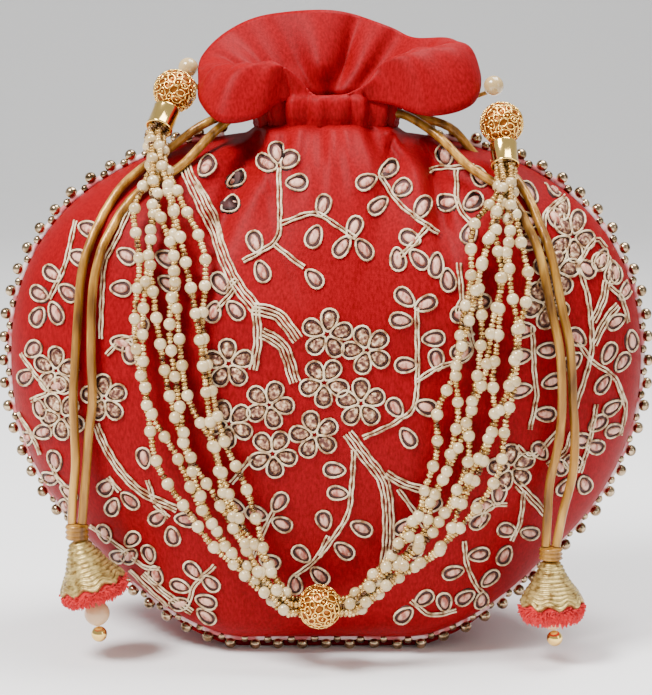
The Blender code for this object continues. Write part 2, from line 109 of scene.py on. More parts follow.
sweep = [(-2500, 0), (1200, 0)]
sweep += [(1200 + 900 * math.sin(t), 900 - 900 * math.cos(t)) for t in (0.2, 0.4, 0.6, 0.8, 1, 1.2, 1.4)]
sweep += [(2100, 950), (2100, 3500)]
floor_rows = [[Vector((x, y, z - 0.2)) for x in (-3500, 3500)] for y, z in sweep]
floor = solid("floor", sheet(floor_rows), plain("paper", (0.93, 0.925, 0.92), 0.9))

world = bpy.data.worlds.new("studio")
bpy.context.scene.world = world
world.use_nodes = True
sky = world.node_tree.nodes["Background"]
sky.inputs["Color"].default_value = (1, 1, 1, 1)
sky.inputs["Strength"].default_value = 0.5


def softbox(name, power, size, place, aim):
    lamp = bpy.data.lights.new(name, "AREA")
    lamp.energy = power
    lamp.shape = "RECTANGLE"
    lamp.size, lamp.size_y = size
    made = link(name, lamp)
    made.location = place
    made.rotation_euler = (Vector(aim) - Vector(place)).to_track_quat("-Z", "Y").to_euler()


softbox("key_light", 24, (0.4, 0.3), (-0.5, -0.45, 0.95), (0, 0, 0.09))
softbox("top_light", 12, (0.5, 0.5), (0.25, 0.1, 0.9), (0, 0, 0.1))
softbox("side_light", 2.0, (0.3, 0.7), (1.0, -0.7, 0.4), (0, 0, 0.09))

# ================================================================ cloth of the body
# Two padded discs of red satin are seamed round the edge and gathered into the neck.
# The front swells smoothly, with folds that run down from the neck over the shoulders.

BELLY_Z = 88.0  # height of the widest point
HALF_WIDTH = 103.5  # to the middle of the bead edging
ABOVE = 78.0
BELOW = 90.0
BULGE = 46.0
SHOULDER_POWER = 2.35
CLOTH = 1.6
EDGE_BEAD = 3.4
EDGE_STEP = 2.1
NECK_X, NECK_Y = 21.5, 10.5
HALF_GAP = 0.15

# Folds of the front: height, half width and the line they follow, in mm.
FOLDS = [
    (4.2, 4.5, ((-21, 165), (-30, 158), (-41, 151), (-52, 146))),
    (-3.6, 3.4, ((-21, 163), (-27, 149), (-33, 136), (-38, 122))),
    (2.4, 5.0, ((-16, 163), (-20, 150), (-26, 136))),
    (-2.0, 1.6, ((-13.5, 168), (-13.5, 159), (-14, 152))),
    (1.2, 3.0, ((-8, 167), (-9, 158), (-11, 148))),
    (-0.9, 2.0, ((-3, 167), (-3, 160), (-3, 153))),
    (1.0, 3.0, ((3, 167), (4, 158), (5, 148))),
    (-2.4, 2.8, ((12, 168), (16, 161), (22, 155), (27, 150))),
    (1.6, 4.0, ((8, 164), (12, 152), (16, 140))),
    (2.6, 4.5, ((20, 167), (26, 156), (29, 142), (31, 130))),
    (-4.4, 3.0, ((27, 165), (33.5, 154), (34.5, 142), (38, 126), (42, 112))),
    (3.4, 4.5, ((27, 167), (38, 159), (50, 153), (62, 146))),
    (-2.2, 4.0, ((36, 154), (46, 145), (54, 132))),
    (-1.8, 5.0, ((-34, 134), (-40, 120), (-46, 104))),
    (1.4, 8.0, ((-28, 112), (-8, 108), (18, 110))),
    (-1.2, 9.0, ((30, 100), (40, 84), (44, 66))),
]


def smooth(value):
    value = max(0.0, min(1.0, value))
    return value * value * (3.0 - 2.0 * value)


def edge_radius(angle):
    """Distance from the belly's middle to the middle of the bead edging."""
    across, up = math.cos(angle), math.sin(angle)
    if up >= 0:
        share = abs(across / HALF_WIDTH) ** SHOULDER_POWER + abs(up / ABOVE) ** SHOULDER_POWER
        return share ** (-1 / SHOULDER_POWER)
    radius = 1 / math.hypot(across / HALF_WIDTH, up / BELOW)
    return min(radius, (BELLY_Z - EDGE_BEAD / 2 - 0.2) / -up)


def base_share(angle):
    return smooth((-math.sin(angle) - 0.6) / 0.35)


def neck_share(angle):
    return smooth((math.sin(angle) - 0.62) / 0.33)


def beside_neck(angle):
    return 1 - smooth((math.sin(angle) - 0.945) / 0.02)


def neck_depth(across):
    if abs(across) >= NECK_X:
        return 0.0
    return NECK_Y * math.sqrt(1 - (across / NECK_X) ** 2)


def front_point(angle, share, inset=0.0):
    """A point on the front panel: share is 0 at the belly's middle and 1 at the seam."""
    base, neck = base_share(angle), neck_share(angle)
    radius = edge_radius(angle) - (EDGE_STEP + inset) * beside_neck(angle)
    across = radius * math.cos(angle)
    edge = -21.0 * base - HALF_GAP
    if math.sin(angle) > 0:
        edge = -max(neck_depth(across) - inset, HALF_GAP)
    power, root = 2.6 - 0.6 * base, 0.5 + 0.3 * neck
    depth = edge * share**4 - (BULGE - inset) * (1 - share**power) ** root
    return Vector((share * across, depth, BELLY_Z + share * radius * math.sin(angle)))


def back_point(angle, share, inset=0.0):
    """A point on the back panel, which also makes the flat base."""
    base, neck = base_share(angle), neck_share(angle)
    turn = math.radians(132) * base
    step = EDGE_STEP * beside_neck(angle) + 0.75 * base
    radius = edge_radius(angle) - step * math.cos(turn) - inset * beside_neck(angle)
    across = radius * math.cos(angle)
    edge = (step * math.sin(turn) - 22.4 * base) * share**60 + HALF_GAP
    if math.sin(angle) > 0:
        edge = max(neck_depth(across) - inset, HALF_GAP) * share**4
    sag = smooth((0.25 - math.sin(angle)) / 1.25)
    power, root = 2.6 + 7.4 * sag**2, 0.5 + 0.3 * neck
    depth = edge + (BULGE - inset) * (1 - share**power) ** root
    drop = 7.0 * base * smooth((share - 0.8) / 0.15) * smooth((1 - share) / 0.03)
    height = max(inset, BELLY_Z + share * radius * math.sin(angle) - drop)
    return Vector((share * across, depth, height))


def off_line(x, z, line):
    """Distance from a place to a line of places, and how far along the line it is."""
    best, where = 1e9, 0.0
    for i, ((ax, az), (bx, bz)) in enumerate(zip(line, line[1:])):
        t = ((x - ax) * (bx - ax) + (z - az) * (bz - az)) / ((bx - ax) ** 2 + (bz - az) ** 2)
        t = max(0.0, min(1.0, t))
        away = math.hypot(x - ax - t * (bx - ax), z - az - t * (bz - az))
        if away < best:
            best, where = away, (i + t) / (len(line) - 1)
    return best, where


def fold_height(x, z):
    """How far the folds lift the front cloth at a place."""
    rise = 0.0
    if z > 60:
        for height, width, line in FOLDS:
            away, along = off_line(x, z, line)
            if away < 3 * width:
                fade = smooth((1 - along) / 0.6 + 0.05)
                rise += height * fade * math.exp(-((away / width) ** 2))
    spread = smooth((z - 138) / 26)
    reach = x / (1 + (168 - z) * 0.03)
    rise += 0.5 * spread * math.sin(reach * 1.45 + 0.5 * math.sin(reach * 0.4))
    return rise


def near_edge(share):
    """Folds die out towards the seam."""
    return smooth((1 - share) / 0.05)


def front_cloth(angle, share, inset=0.0):
    spot = front_point(angle, share, inset)
    under_neck = 1 - beside_neck(angle)
    fade = near_edge(share) * (1 - under_neck) + smooth((1 - share) / 0.02) * under_neck
    spot.y -= fold_height(spot.x, spot.z) * max(fade, 0.25 * under_neck) * 1.5
    return spot


def back_cloth(angle, share, inset=0.0):
    spot = back_point(angle, share, inset)
    spread = smooth((spot.z - 132) / 30) * near_edge(share)
    reach = spot.x / (1 + (168 - spot.z) * 0.035)
    spot.y += 1.1 * spread * math.sin(reach * 0.95 + 0.8 * math.sin(reach * 0.31))
    return spot


def panel(name, point, angles, shares, look):
    """A padded panel: its outer face, its edge and its lining in one closed skin."""
    rows = [[point(angle, share) for angle in angles] for share in shares]
    rows += [[point(angle, share, CLOTH) for angle in angles] for share in reversed(shares)]
    bm = sheet(rows, closed=True)
    bm.verts.ensure_lookup_table()
    count = len(angles)
    for ring, inset in ((bm.verts[:count], 0.0), (bm.verts[-count:], CLOTH)):
        middle = bm.verts.new(point(0.0, 0.0, inset) * MM)
        for i, spot in enumerate(ring):
            bm.faces.new((middle, ring[(i + 1) % count], spot))
    return solid(name, bm, look)


def belongs(piece, body, slot, *nodes):
    """The body that a piece rides, its material slot (not used) and the CAD nodes that it replaces."""
    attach(piece, body)
    if nodes:
        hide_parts(*nodes)


def node(tree, kind, links=(), **values):
    """A node with its settings, its socket values and the links into it."""
    made = tree.nodes.new(kind)
    for name, value in values.items():
        if name.startswith("in_"):
            made.inputs[int(name[3:])].default_value = value
        else:
            setattr(made, name, value)
    for socket, source in links:
        tree.links.new(source, made.inputs[socket])
    return made


def ramp(tree, source, stops):
    made = node(tree, "ShaderNodeValToRGB", links=[(0, source)])
    points = made.color_ramp.elements
    while len(points) < len(stops):
        points.new(0.5)
    for point, (place, colour) in zip(points, stops):
        point.position = place
        point.color = (*colour, 1)
    return made.outputs[0]


def grain(tree, scale, detail=2.0, squeeze=(1, 1, 1)):
    """Noise on the object's own coordinates."""
    place = node(tree, "ShaderNodeTexCoord").outputs["Object"]
    size = node(tree, "ShaderNodeMapping", links=[(0, place)])
    size.inputs["Scale"].default_value = squeeze
    return node(tree, "ShaderNodeTexNoise", links=[(0, size.outputs[0])], in_2=scale, in_3=detail).outputs[0]


def bump(look, height, strength, distance):
    tree = look.node_tree
    made = node(tree, "ShaderNodeBump", in_0=strength, in_1=distance)
    tree.links.new(height, made.inputs["Height"])
    tree.links.new(made.outputs[0], tree.nodes["Principled BSDF"].inputs["Normal"])


def colour_by(look, height, stops):
    """The colour of a look from a noise, by stops of place and colour."""
    tree = look.node_tree
    tree.links.new(ramp(tree, height, stops), tree.nodes["Principled BSDF"].inputs["Base Color"])


def mottle(look, stops, scale, detail=2.0, squeeze=(1, 1, 1)):
    colour_by(look, grain(look.node_tree, scale, detail, squeeze), stops)


def roughen(look, scale, detail, strength, distance, squeeze=(1, 1, 1)):
    bump(look, grain(look.node_tree, scale, detail, squeeze), strength, distance)


silk = plain("red_satin", (0.4, 0.001, 0.006), 0.5)
silk.node_tree.nodes["Principled BSDF"].inputs["Specular IOR Level"].default_value = 0.07
mottle(silk, [(0.3, (0.165, 0.0, 0.0012)), (0.7, (0.27, 0.0004, 0.005))], 1500, 3, (1, 1, 0.4))
roughen(silk, 2300, 2, 0.35, 0.0002)

fine = [math.radians(52 + 0.8 * i) for i in range(95)]
coarse = [math.radians(128 + 284 * i / 96) for i in range(96)]
ring_shares = [0.06 + 0.9 * i / 46 for i in range(47)] + [0.968, 0.976, 0.984, 0.99, 0.995, 0.998, 1.0]
for name, point in (("front_panel", front_cloth), ("back_panel", back_cloth)):
    belongs(panel(name + "_cloth", point, fine + coarse, ring_shares, silk), "bag", "silk", name)

# ================================================================ neck and frill
# One strip of the same satin is folded over at the neck, stitched into a channel for
# the drawstrings, and stands up above it as a frill that opens in a lobe on each side.

CHANNEL_HIGH = 174.3
FRILL_THICK = 0.9

# The frill as ribs round the neck: direction, the fold's middle and its rim in mm.
FRILL_RIBS = [
    (0, (44, 2, 202), (48.4, 0, 182)),
    (22, (37, 7, 194), (41, 9, 191.2)),
    (45, (24, 9, 183), (28.4, 16, 192)),
    (66, (13, 13, 186), (19.5, 20, 195.8)),
    (88, (2, 14, 187), (2.6, 22, 200.6)),
    (110, (-11, 13, 187), (-18.8, 21, 199.3)),
    (134, (-19, 8, 184), (-31.6, 16, 194.2)),
    (158, (-29, 3, 186), (-39.6, 7, 186.2)),
    (180, (-34, -2, 191), (-40, -4, 179)),
    (205, (-30, -8, 195), (-39, -12, 172.5)),
    (225, (-24, -12, 198), (-32.5, -20, 167)),
    (240, (-17, -11, 198), (-22, -18, 168)),
    (252, (-13, -10, 190), (-14, -11, 173)),
    (264, (-6, -9.5, 175), (-6, -7.5, 172)),
    (276, (4, -9.5, 175), (4, -7.5, 172)),
    (290, (11, -9, 178), (12, -8, 173)),
    (304, (18, -9, 190), (20, -11, 172)),
    (318, (25, -9, 203), (32, -17, 168.8)),
    (340, (38, -4, 206), (45.6, -11, 172)),
]

# Gathers of the neck: direction in degrees, height in mm and half width in degrees.
GATHERS = [
    (205, 1.0, 4), (213, -1.2, 3), (221, 1.0, 3), (227, 1.0, 3), (234, -1.6, 3), (244, 1.2, 5),
    (255, -0.7, 3), (265, 0.9, 5), (281, 0.6, 5), (291, -0.9, 3), (299, 0.8, 3), (309, -1.5, 5),
    (321, 1.3, 4), (331, -1.3, 3), (338, 0.8, 3),
]


def on_curve(a, b, c, d, t):
    """The place at share t of the way from b to c, on a smooth curve through all four."""
    bend = 2 * b + (c - a) * t + (2 * a - 5 * b + 4 * c - d) * t * t
    return 0.5 * (bend + (3 * b - a - 3 * c + d) * t**3)


def between_ribs(values, position):
    """A smooth value at a position round a closed list of vectors."""
    i = int(position)
    return on_curve(*(values[(i + k) % len(values)] for k in (-1, 0, 1, 2)), position - i)


def pleat(turn):
    """How far the gathers stand out round the neck: drawn one by one in front, even behind."""
    degrees = math.degrees(turn) % 360
    rise = sum(high * math.exp(-(((degrees - place) / wide) ** 2)) for place, high, wide in GATHERS)
    behind = smooth((abs(degrees - 270) - 70) / 20)
    return rise + behind * 0.8 * math.sin(19 * turn + 1.3 * math.sin(3 * turn))


def neck_sheet(count=380, rows=26):
    """The whole strip: up the channel's outside, in at its top, and out along the frill."""
    turns = [math.radians(d) for d, _middle, _rim in FRILL_RIBS]
    turns = [Vector((math.cos(t), math.sin(t), 0)) for t in turns]
    middles = [Vector(middle) for _d, middle, _rim in FRILL_RIBS]
    rims = [Vector(rim) for _d, _middle, rim in FRILL_RIBS]
    outline = [(163.6, 0.2, 0.8), (165.6, 0.9, 1.0), (166.4, 0.75, 1.1), (167.2, 1.1, 1.2), (169, 1.5, 1.3),
               (171, 1.6, 1.3), (172.8, 1.4, 1.2), (173.9, 0.9, 1.1), (174.5, 0.2, 1)]
    made = []  # rows of points
    places = [k * len(FRILL_RIBS) / count for k in range(count)]
    for height, out, depth in outline:
        line = []
        for position in places:
            way = between_ribs(turns, position).normalized()
            turn = math.atan2(way.y, way.x)
            reach = out + 0.75 * depth * pleat(turn)
            line.append(Vector(((NECK_X + reach) * way.x, (NECK_Y + reach) * way.y, height)))
        made.append(line)
    for row in range(1, rows):
        t = row / (rows - 1)
        line = []
        for position in places:
            way = between_ribs(turns, position).normalized()
            turn = math.atan2(way.y, way.x)
            root = Vector(((NECK_X - 0.2) * way.x, (NECK_Y - 0.2) * way.y, CHANNEL_HIGH + 0.3))
            middle, rim = between_ribs(middles, position), between_ribs(rims, position)
            spot = (1 - t) ** 2 * root + 2 * t * (1 - t) * middle + t * t * rim
            out = Vector((way.x, way.y, -0.5)).normalized()
            spot += out * (0.7 * pleat(turn) * (1 - t) ** 1.2)
            degrees = math.degrees(turn) % 360
            wall = smooth((70 - abs(degrees - 92)) / 30)
            ripple = 2.2 * math.sin(6.5 * turn + 0.5) + 1.3 * math.sin(13 * turn + 2.2)
            ridge = 3.0 * math.exp(-(((degrees - 79) / 4) ** 2))
            valley = 2.2 * math.exp(-(((degrees - 68) / 6) ** 2))
            spot.y += wall * (ripple + ridge - valley) * smooth(t / 0.4) * (1 - 0.35 * t)
            spot += way * (1 - wall) * 0.7 * math.sin(15 * turn) * math.sin(math.pi * t)
            line.append(spot)
        made.append(line)
    return made


frill = solid("neck_frill_cloth", sheet(neck_sheet(), closed=True), silk)
thick = frill.modifiers.new("Cloth", "SOLIDIFY")
thick.thickness = FRILL_THICK * MM
thick.offset = 0
belongs(frill, "bag", "silk", "neck_frill")

# ================================================================ embroidery
# Gold and cream cords are couched down along floral vines over the front panel.
# Leaves have a satin-stitch filling of pale pink, petals a filling of dull bullion.


def cloth_spot(x, z):
    """The place on the folded front cloth at a place on its outline, and its normal."""
    def spot_at(across, height):
        angle = math.atan2(height - BELLY_Z, across)
        radius = edge_radius(angle) - EDGE_STEP * beside_neck(angle)
        return front_cloth(angle, min(math.hypot(across, height - BELLY_Z) / radius, 0.985))

    spot = spot_at(x, z)
    sideways = spot_at(x + 0.4, z) - spot_at(x - 0.4, z)
    upward = spot_at(x, z + 0.4) - spot_at(x, z - 0.4)
    return spot, sideways.cross(upward).normalized()


def stitched(x, z, lift):
    spot, normal = cloth_spot(x, z)
    return spot + normal * lift


# Sprigs: the lines of each stem, then the middles of its leaves.
SPRIGS = [
    ([[(-14.5, 153), (-14, 137.6), (-15.8, 131.5), (-25.2, 126)],
      [(-13.7, 137), (-3.7, 140.1), (4, 136.1), (9.1, 132.8)], [(-15.8, 131), (-6.7, 124.4)]],
     [(-18.3, 154.5), (-11.4, 155.6), (-15.2, 157.5), (-8.9, 149), (-0.9, 142.4), (-3.6, 133.4), (8.5, 136),
      (4.9, 130.5), (11.5, 129.6), (-3.6, 121.2), (-21.6, 131.5), (-19.4, 123.1)]),
    ([[(16.3, 151), (21.5, 143.6), (28.4, 138.1), (34.1, 133.8)], [(31, 136), (26, 130.5), (22, 127)]],
     [(12.3, 149.3), (19.2, 152.4), (23.4, 147), (15.9, 142.2), (29.4, 141.5), (25.6, 132.6), (21.8, 126.6),
      (28.2, 126.6), (33.4, 124.8), (37, 120.4)]),
    ([[(27.5, 112.5), (27.3, 85.1), (22.2, 78.3), (11.3, 72.8)], [(27.4, 90), (34, 94), (41, 96)]],
     [(23.9, 115.5), (30.2, 113.6), (22.7, 108.7), (24.2, 95), (32.6, 103), (33.6, 96.4), (21, 82.1),
      (30.4, 82), (25, 72.7), (42, 98.6)]),
    ([[(-78.1, 136), (-79, 131), (-81, 122.4), (-85.7, 112.6)]],
     [(-73.7, 134.1), (-76.4, 125.6), (-85.1, 120), (-79.6, 115), (-89.4, 113.5), (-89.8, 106.6),
      (-83.6, 108.5)]),
    ([[(-96, 94), (-90.2, 87.9), (-86.6, 83.7), (-92.7, 79.9)]],
     [(-91.5, 96.3), (-94.4, 87), (-89.7, 77.8), (-83.4, 86)]),
    ([[(-59.2, 143.3), (-64, 132.2), (-67.8, 124.6), (-68.4, 117.1), (-69, 101.8)]],
     [(-61, 127), (-62.6, 117.3), (-62.3, 100.9), (-48.6, 126.6), (-47.9, 119.2)]),
    ([[(-30.5, 117.6), (-27, 121)], [(-33, 112), (-27.6, 118)]], [(-32, 119.6), (-34, 111.3), (-27.3, 112)]),
    ([[(-40.3, 149), (-35.4, 141.3), (-31.3, 130.5)]], [(-27.9, 149.2), (-29.6, 141.9), (-37, 153.4)]),
    ([[(-58, 103), (-63, 101.4), (-67, 97)]], [(-60, 98), (-56.5, 106)]),
    ([[(-86.3, 59.5), (-84.6, 55.2), (-81.7, 52.2)]],
     [(-85.3, 61), (-87.6, 54), (-81.2, 50.5), (-83.4, 44.3)]),
    ([[(-67.6, 58), (-64, 53.6)]], [(-68.4, 54.4), (-66.6, 47.9), (-60.9, 50.7)]),
    ([[(-53, 50.2), (-48.6, 46)], [(-55, 58), (-53, 50.6)]], [(-52.2, 45.6), (-47.7, 39.7), (-43.4, 45.6),
                                                          (-56, 65.2)]),
    ([[(-74.8, 39.4), (-65.9, 34.1), (-57.7, 28), (-52, 28)], [(-62.2, 25.2), (-56.8, 20.2), (-50, 14.5)]],
     [(-70, 37.4), (-66, 29.4), (-60.8, 37), (-55.5, 32.5), (-53.6, 25.4), (-62, 30.6)]),
    ([[(-34.6, 30.6), (-40.8, 23.8), (-42.9, 17.7)]],
     [(-41.3, 28.4), (-45.6, 22.7), (-36, 24.6), (-37.5, 18.2), (-46, 16.3), (-37.6, 13)]),
    ([[(-22.8, 33.1), (-19.4, 42.2), (-16.1, 49.2)]],
     [(-21.4, 48.2), (-14.4, 52), (-13.6, 44.8), (-17.4, 32.2), (-28.4, 50.6)]),
    ([[(0.7, 40.9), (-3.2, 33.1), (-9.8, 27.5)], [(8.5, 68.9), (7.9, 57.3), (6.2, 46.9), (-1.9, 34.2)]],
     [(3.7, 55), (10.9, 43.4), (-0.6, 46), (5.6, 36), (-7.6, 34.8), (-9.6, 24.6), (-2, 27.6), (2.6, 62.5)]),
    ([[(22.2, 56.2), (26.8, 49.5), (31.5, 41.7)]], [(24.2, 43.9), (28, 36.4), (32.6, 51)]),
    ([[(61.3, 54), (60.4, 43), (57.9, 37)]], [(56.4, 40.9), (63.9, 38.8), (56, 32)]),
    ([[(42.9, 38.3), (43.7, 31.1), (46.6, 23.5), (49, 20)]],
     [(47.6, 33.4), (39.6, 28), (51.4, 24.6), (43.6, 19), (49, 17)]),
    ([[(26.6, 19), (32.7, 14), (40.8, 14.8)]], [(30.6, 19.6), (24.4, 14), (37, 18)]),
    ([[(56, 50), (50.5, 49.4), (47, 43)]], [(53.4, 53.6), (48.6, 50), (47.6, 45)]),
    ([[(84, 80), (82, 68), (79.4, 58)]], [(84.8, 73.7), (84.2, 66), (77, 62), (81.4, 53.4), (75, 54)]),
    ([[(91.1, 86), (94.4, 77), (93, 68)]], [(89.6, 78), (90.6, 70.2)]),
    ([[(82.1, 93.8), (90, 87.6), (93.6, 79)], [(82, 94), (77.6, 100)]],
     [(87.9, 95.6), (92.8, 92), (86.2, 86.2), (77.2, 101.6), (76, 94.4)]),
    ([[(62.9, 106), (63.7, 91.3), (64.5, 84.6), (62.6, 74)]],
     [(60.2, 105), (67.6, 98.4), (59.6, 97), (69.3, 88.6), (59.6, 86.5), (67.4, 78.5)]),
    ([[(32.3, 151.4), (39, 152.5), (46, 153)], [(40.9, 152), (40.5, 142.3), (44.8, 136)]],
     [(37.4, 156), (45.4, 142.7), (43.8, 134), (37.6, 142.5), (47.6, 150)]),
    ([[(44, 118), (43.6, 106), (45, 100)]], [(46.6, 113.9), (41, 110), (41.2, 99)]),
    ([[(75.2, 143), (67.7, 138.5), (67.3, 128)]],
     [(63, 145), (72, 146.4), (62.2, 137), (62.6, 131), (71, 137.6)]),
    ([[(78, 124), (84, 130), (88, 127)]], [(80.6, 122), (86, 124), (90.6, 119.6)]),
    ([[(88, 116), (92.4, 112), (95, 104)]], [(94.4, 113.6), (90.4, 105), (96.4, 98)]),
    ([[(68.5, 62), (74, 66), (76, 72)]], [(66, 66.8), (72.6, 61), (79, 69)]),
    ([[(-98, 74), (-93, 68), (-90.4, 62)]], [(-95.6, 66), (-89, 70)]),
]

# Flowers of five petals, by their middles and the turn of their first petal.
FLOWERS = [
    (0.3, 104.8, 10), (12.4, 99.9, 40), (-0.6, 89.9, 55), (10.6, 83.4, 20), (-17.3, 83, 0), (-3.4, 73.6, 30),
    (-16.3, 67.7, 60), (-29.4, 95.5, 20), (-29.4, 77, 45),
    (-83.7, 90.6, 15), (-82, 76.4, 50), (-68, 83.4, 25), (75.9, 143, 20), (76.4, 131.6, 60),
    (70.6, 122, 10), (90, 124, 45), (57, 62, 25), (67.4, 112.4, 50),
]

# Couched bundles of cord side by side: how many, and their line.
BUNDLES = [
    (4, [(-44, 153.5), (-35.4, 136.6), (-27.9, 120.8), (-21.2, 112.5)]),
    (3, [(-21.2, 112.5), (-20.6, 103), (-22, 93.8)]),
    (4, [(-22.1, 112.5), (-14.5, 110.5), (-8.5, 103.3)]),
    (4, [(-19.4, 105.4), (-13, 101), (-9.4, 90)]),
    (4, [(6.6, 74.2), (12.4, 66.2), (17.6, 58.6), (19.2, 47.5), (18.9, 34.9), (16.6, 24.2)]),
    (3, [(18.3, 61.4), (24.1, 57.9), (33, 55.1)]),
    (3, [(-71, 75), (-67.6, 67.1), (-62.5, 59.2), (-56, 53.4), (-46, 49)]),
    (3, [(59.1, 56.5), (64.1, 51), (69, 45)]),
    (2, [(72.2, 73.4), (63.6, 65.2), (58.7, 69)]),
    (2, [(77.4, 123.7), (80.7, 114), (82.1, 101.7), (81.4, 93.8), (76.8, 78.9)]),
    (3, [(87.3, 117.7), (85.8, 112), (82.4, 106)]),
    (3, [(91, 109.8), (86.8, 106), (82.6, 99)]),
    (2, [(40.6, 125.3), (41.2, 114.6), (39.9, 111.5), (44.5, 103.7)]),
    (2, [(-23.1, 66.3), (-29, 58.1)]),
    (3, [(-57.7, 25), (-50, 19), (-42, 14)]),
]

TUCK = 0.15  # how far a patch's rim is pulled into the cloth

rng = random.Random(7)
cord_lines = []  # (points with lift, closed)
painted_shadow_ovals = []  # dark ovals of painted shadow under each outline: (middle, direction, length, width)
leaf_fills = []
petal_fills = []


def oval_line(x, z, turn, long, wide, tip=0.25):
    """A leaf's outline: rounder at its outer end, narrow where it meets the stem."""
    along, up = math.cos(turn), math.sin(turn)
    line = []
    for i in range(16):
        t = math.tau * i / 16
        u, v = math.cos(t) * long / 2, math.sin(t) * wide / 2 * (1 + tip * math.cos(t))
        line.append((x + u * along - v * up, z + u * up + v * along))
    return line


def curve_through(points, pace):
    """Points a pace apart along a smooth curve through places in 2D."""
    spots = [Vector((x, z, 0)) for x, z in points]
    ends = [2 * spots[0] - spots[1]] + spots + [2 * spots[-1] - spots[-2]]
    fine_line = []
    for a, b, c, d in zip(ends, ends[1:], ends[2:], ends[3:]):
        steps = max(2, round((c - b).length / pace))
        fine_line += [on_curve(a, b, c, d, step / steps) for step in range(steps)]
    return fine_line + [spots[-1]]


def side_by_side(points, count, pitch):
    """Cords that run beside each other along a line, with small waves of a hand's stitching."""
    line = curve_through(points, 1.5)
    for k in range(count):
        shifted = []
        phase = rng.random() * 6
        for i, spot in enumerate(line):
            before, after = line[max(i - 1, 0)], line[min(i + 1, len(line) - 1)]
            way = (after - before).normalized()
            off = (k - (count - 1) / 2) * pitch + 0.12 * math.sin(i * 1.7 + phase)
            shifted.append((spot.x - way.y * off, spot.y + way.x * off))
        cord_lines.append((shifted, False))


for stems, leaves in SPRIGS:
    for stem in stems:
        side_by_side(stem, 2, 0.95)
    paths = [spot for stem in stems for spot in curve_through(stem, 1.0)]
    for x, z in leaves:
        root = min(paths, key=lambda spot: math.hypot(spot.x - x, spot.y - z))
        turn = math.atan2(z - root.y, x - root.x)
        if math.hypot(root.x - x, root.y - z) < 2.2:
            turn += 0.6
        long, wide = 6.4 + 0.8 * rng.random(), 4.3 + 0.5 * rng.random()
        cord_lines.append((oval_line(x, z, turn, long, wide), True))
        # a dark oval a little larger than the leaf's outline: painted shadow along its cords
        painted_shadow_ovals.append((x, z, turn, long + 1.0, wide + 1.0))
        leaf_fills.append((x, z, turn, long * 0.72, wide * 0.56))
for x, z, first in FLOWERS:
    for k in range(5):
        turn = math.radians(first + 72 * k + 8 * (rng.random() - 0.5))
        far = 4.1 + 0.3 * rng.random()
        px, pz = x + far * math.cos(turn), z + far * math.sin(turn)
        if math.hypot(px, pz - BELLY_Z) > edge_radius(math.atan2(pz - BELLY_Z, px)) - 6:
            continue
        cord_lines.append((oval_line(px, pz, turn, 6.8, 5.0, 0.3), True))
        # a dark oval a little larger than the petal's outline: painted shadow along its cords
        painted_shadow_ovals.append((px, pz, turn, 7.6, 5.8))
        petal_fills.append((px, pz, turn, 5.2, 3.7))
for count, points in BUNDLES:
    side_by_side(points, count, 1.05)


def tubes(name, lines, radius, lift, look):
    """Many cords as one curve object."""
    curve = bpy.data.curves.new(name, "CURVE")
    curve.dimensions = "3D"
    curve.bevel_depth = radius * MM
    curve.bevel_resolution = 1
    curve.use_fill_caps = True
    for points, closed in lines:
        spline = curve.splines.new("POLY")
        spline.points.add(len(points) - 1)
        spline.use_cyclic_u = closed
        for spot, (x, z) in zip(spline.points, points):
            spot.co = (*(stitched(x, z, lift) * MM), 1)
    return link(name, curve, look)


def patches(name, ovals, lift, dome, look, rings=3, sides=12):
    """Small padded ovals that follow the cloth, each a low dome."""
    bm = bmesh.new()
    for x, z, turn, long, wide in ovals:
        turn_x, turn_z = math.cos(turn), math.sin(turn)
        rows = []
        for ring in range(rings):
            share = 1 - ring / rings
            height = lift + dome * math.sqrt(1 - share**2) - TUCK * (ring == 0)
            row = []
            for i in range(sides):
                t = math.tau * i / sides
                u, v = share * math.cos(t) * long / 2, share * math.sin(t) * wide / 2
                spot = stitched(x + u * turn_x - v * turn_z, z + u * turn_z + v * turn_x, height)
                row.append(bm.verts.new(spot * MM))
            rows.append(row)
        join_rows(bm, rows)
        top = bm.verts.new(stitched(x, z, lift + dome) * MM)
        for i in range(sides):
            bm.faces.new((rows[-1][i], rows[-1][(i + 1) % sides], top))
        bm.faces.new(list(reversed(rows[0])))
    return solid(name, bm, look)


cream_cord = plain("cream_cord", (0.78, 0.62, 0.40), 0.38)
mottle(cream_cord, [(0.34, (0.24, 0.11, 0.04)), (0.5, (0.64, 0.47, 0.27)), (0.7, (0.85, 0.72, 0.50))], 420)
roughen(cream_cord, 1500, 1, 0.5, 0.0003)
# Painted shadow: near-black ovals, a little larger than each outline, lie under the cords so that a dark
# edge of shade shows round them.
shadow_under_cords_look = plain("painted_shadow_under_cords", (0.055, 0.012, 0.010), 0.7)
pink_fill = plain("pink_satin_stitch", (0.80, 0.42, 0.34), 0.45)
mottle(pink_fill, [(0.36, (0.36, 0.09, 0.06)), (0.56, (0.74, 0.40, 0.29))], 700, 2, (1, 1, 0.35))
roughen(pink_fill, 1200, 1, 0.6, 0.0003, (1, 1, 0.3))
bullion = plain("bullion", (0.36, 0.20, 0.12), 0.4, 0.4)
mottle(bullion, [(0.4, (0.10, 0.03, 0.02)), (0.52, (0.40, 0.20, 0.11)), (0.66, (0.85, 0.62, 0.4))], 800)
roughen(bullion, 900, 1, 0.8, 0.0005)

for piece in (
    tubes("embroidery_cords", cord_lines, 0.34, 0.4, cream_cord),
    # the painted shadow under the cords
    patches("embroidery_painted_shadow", painted_shadow_ovals, 0.1, 0.06, shadow_under_cords_look, sides=16),
    patches("embroidery_leaves", leaf_fills, 0.4, 0.5, pink_fill),
    patches("embroidery_petals", petal_fills, 0.35, 0.45, bullion),
):
    belongs(piece, "bag", "silk")

# ================================================================ bead edging
# Antique-silver beads are sewn along the seam one by one: large ones on the outside
# with a smaller one between each pair, over a thin pale piping.


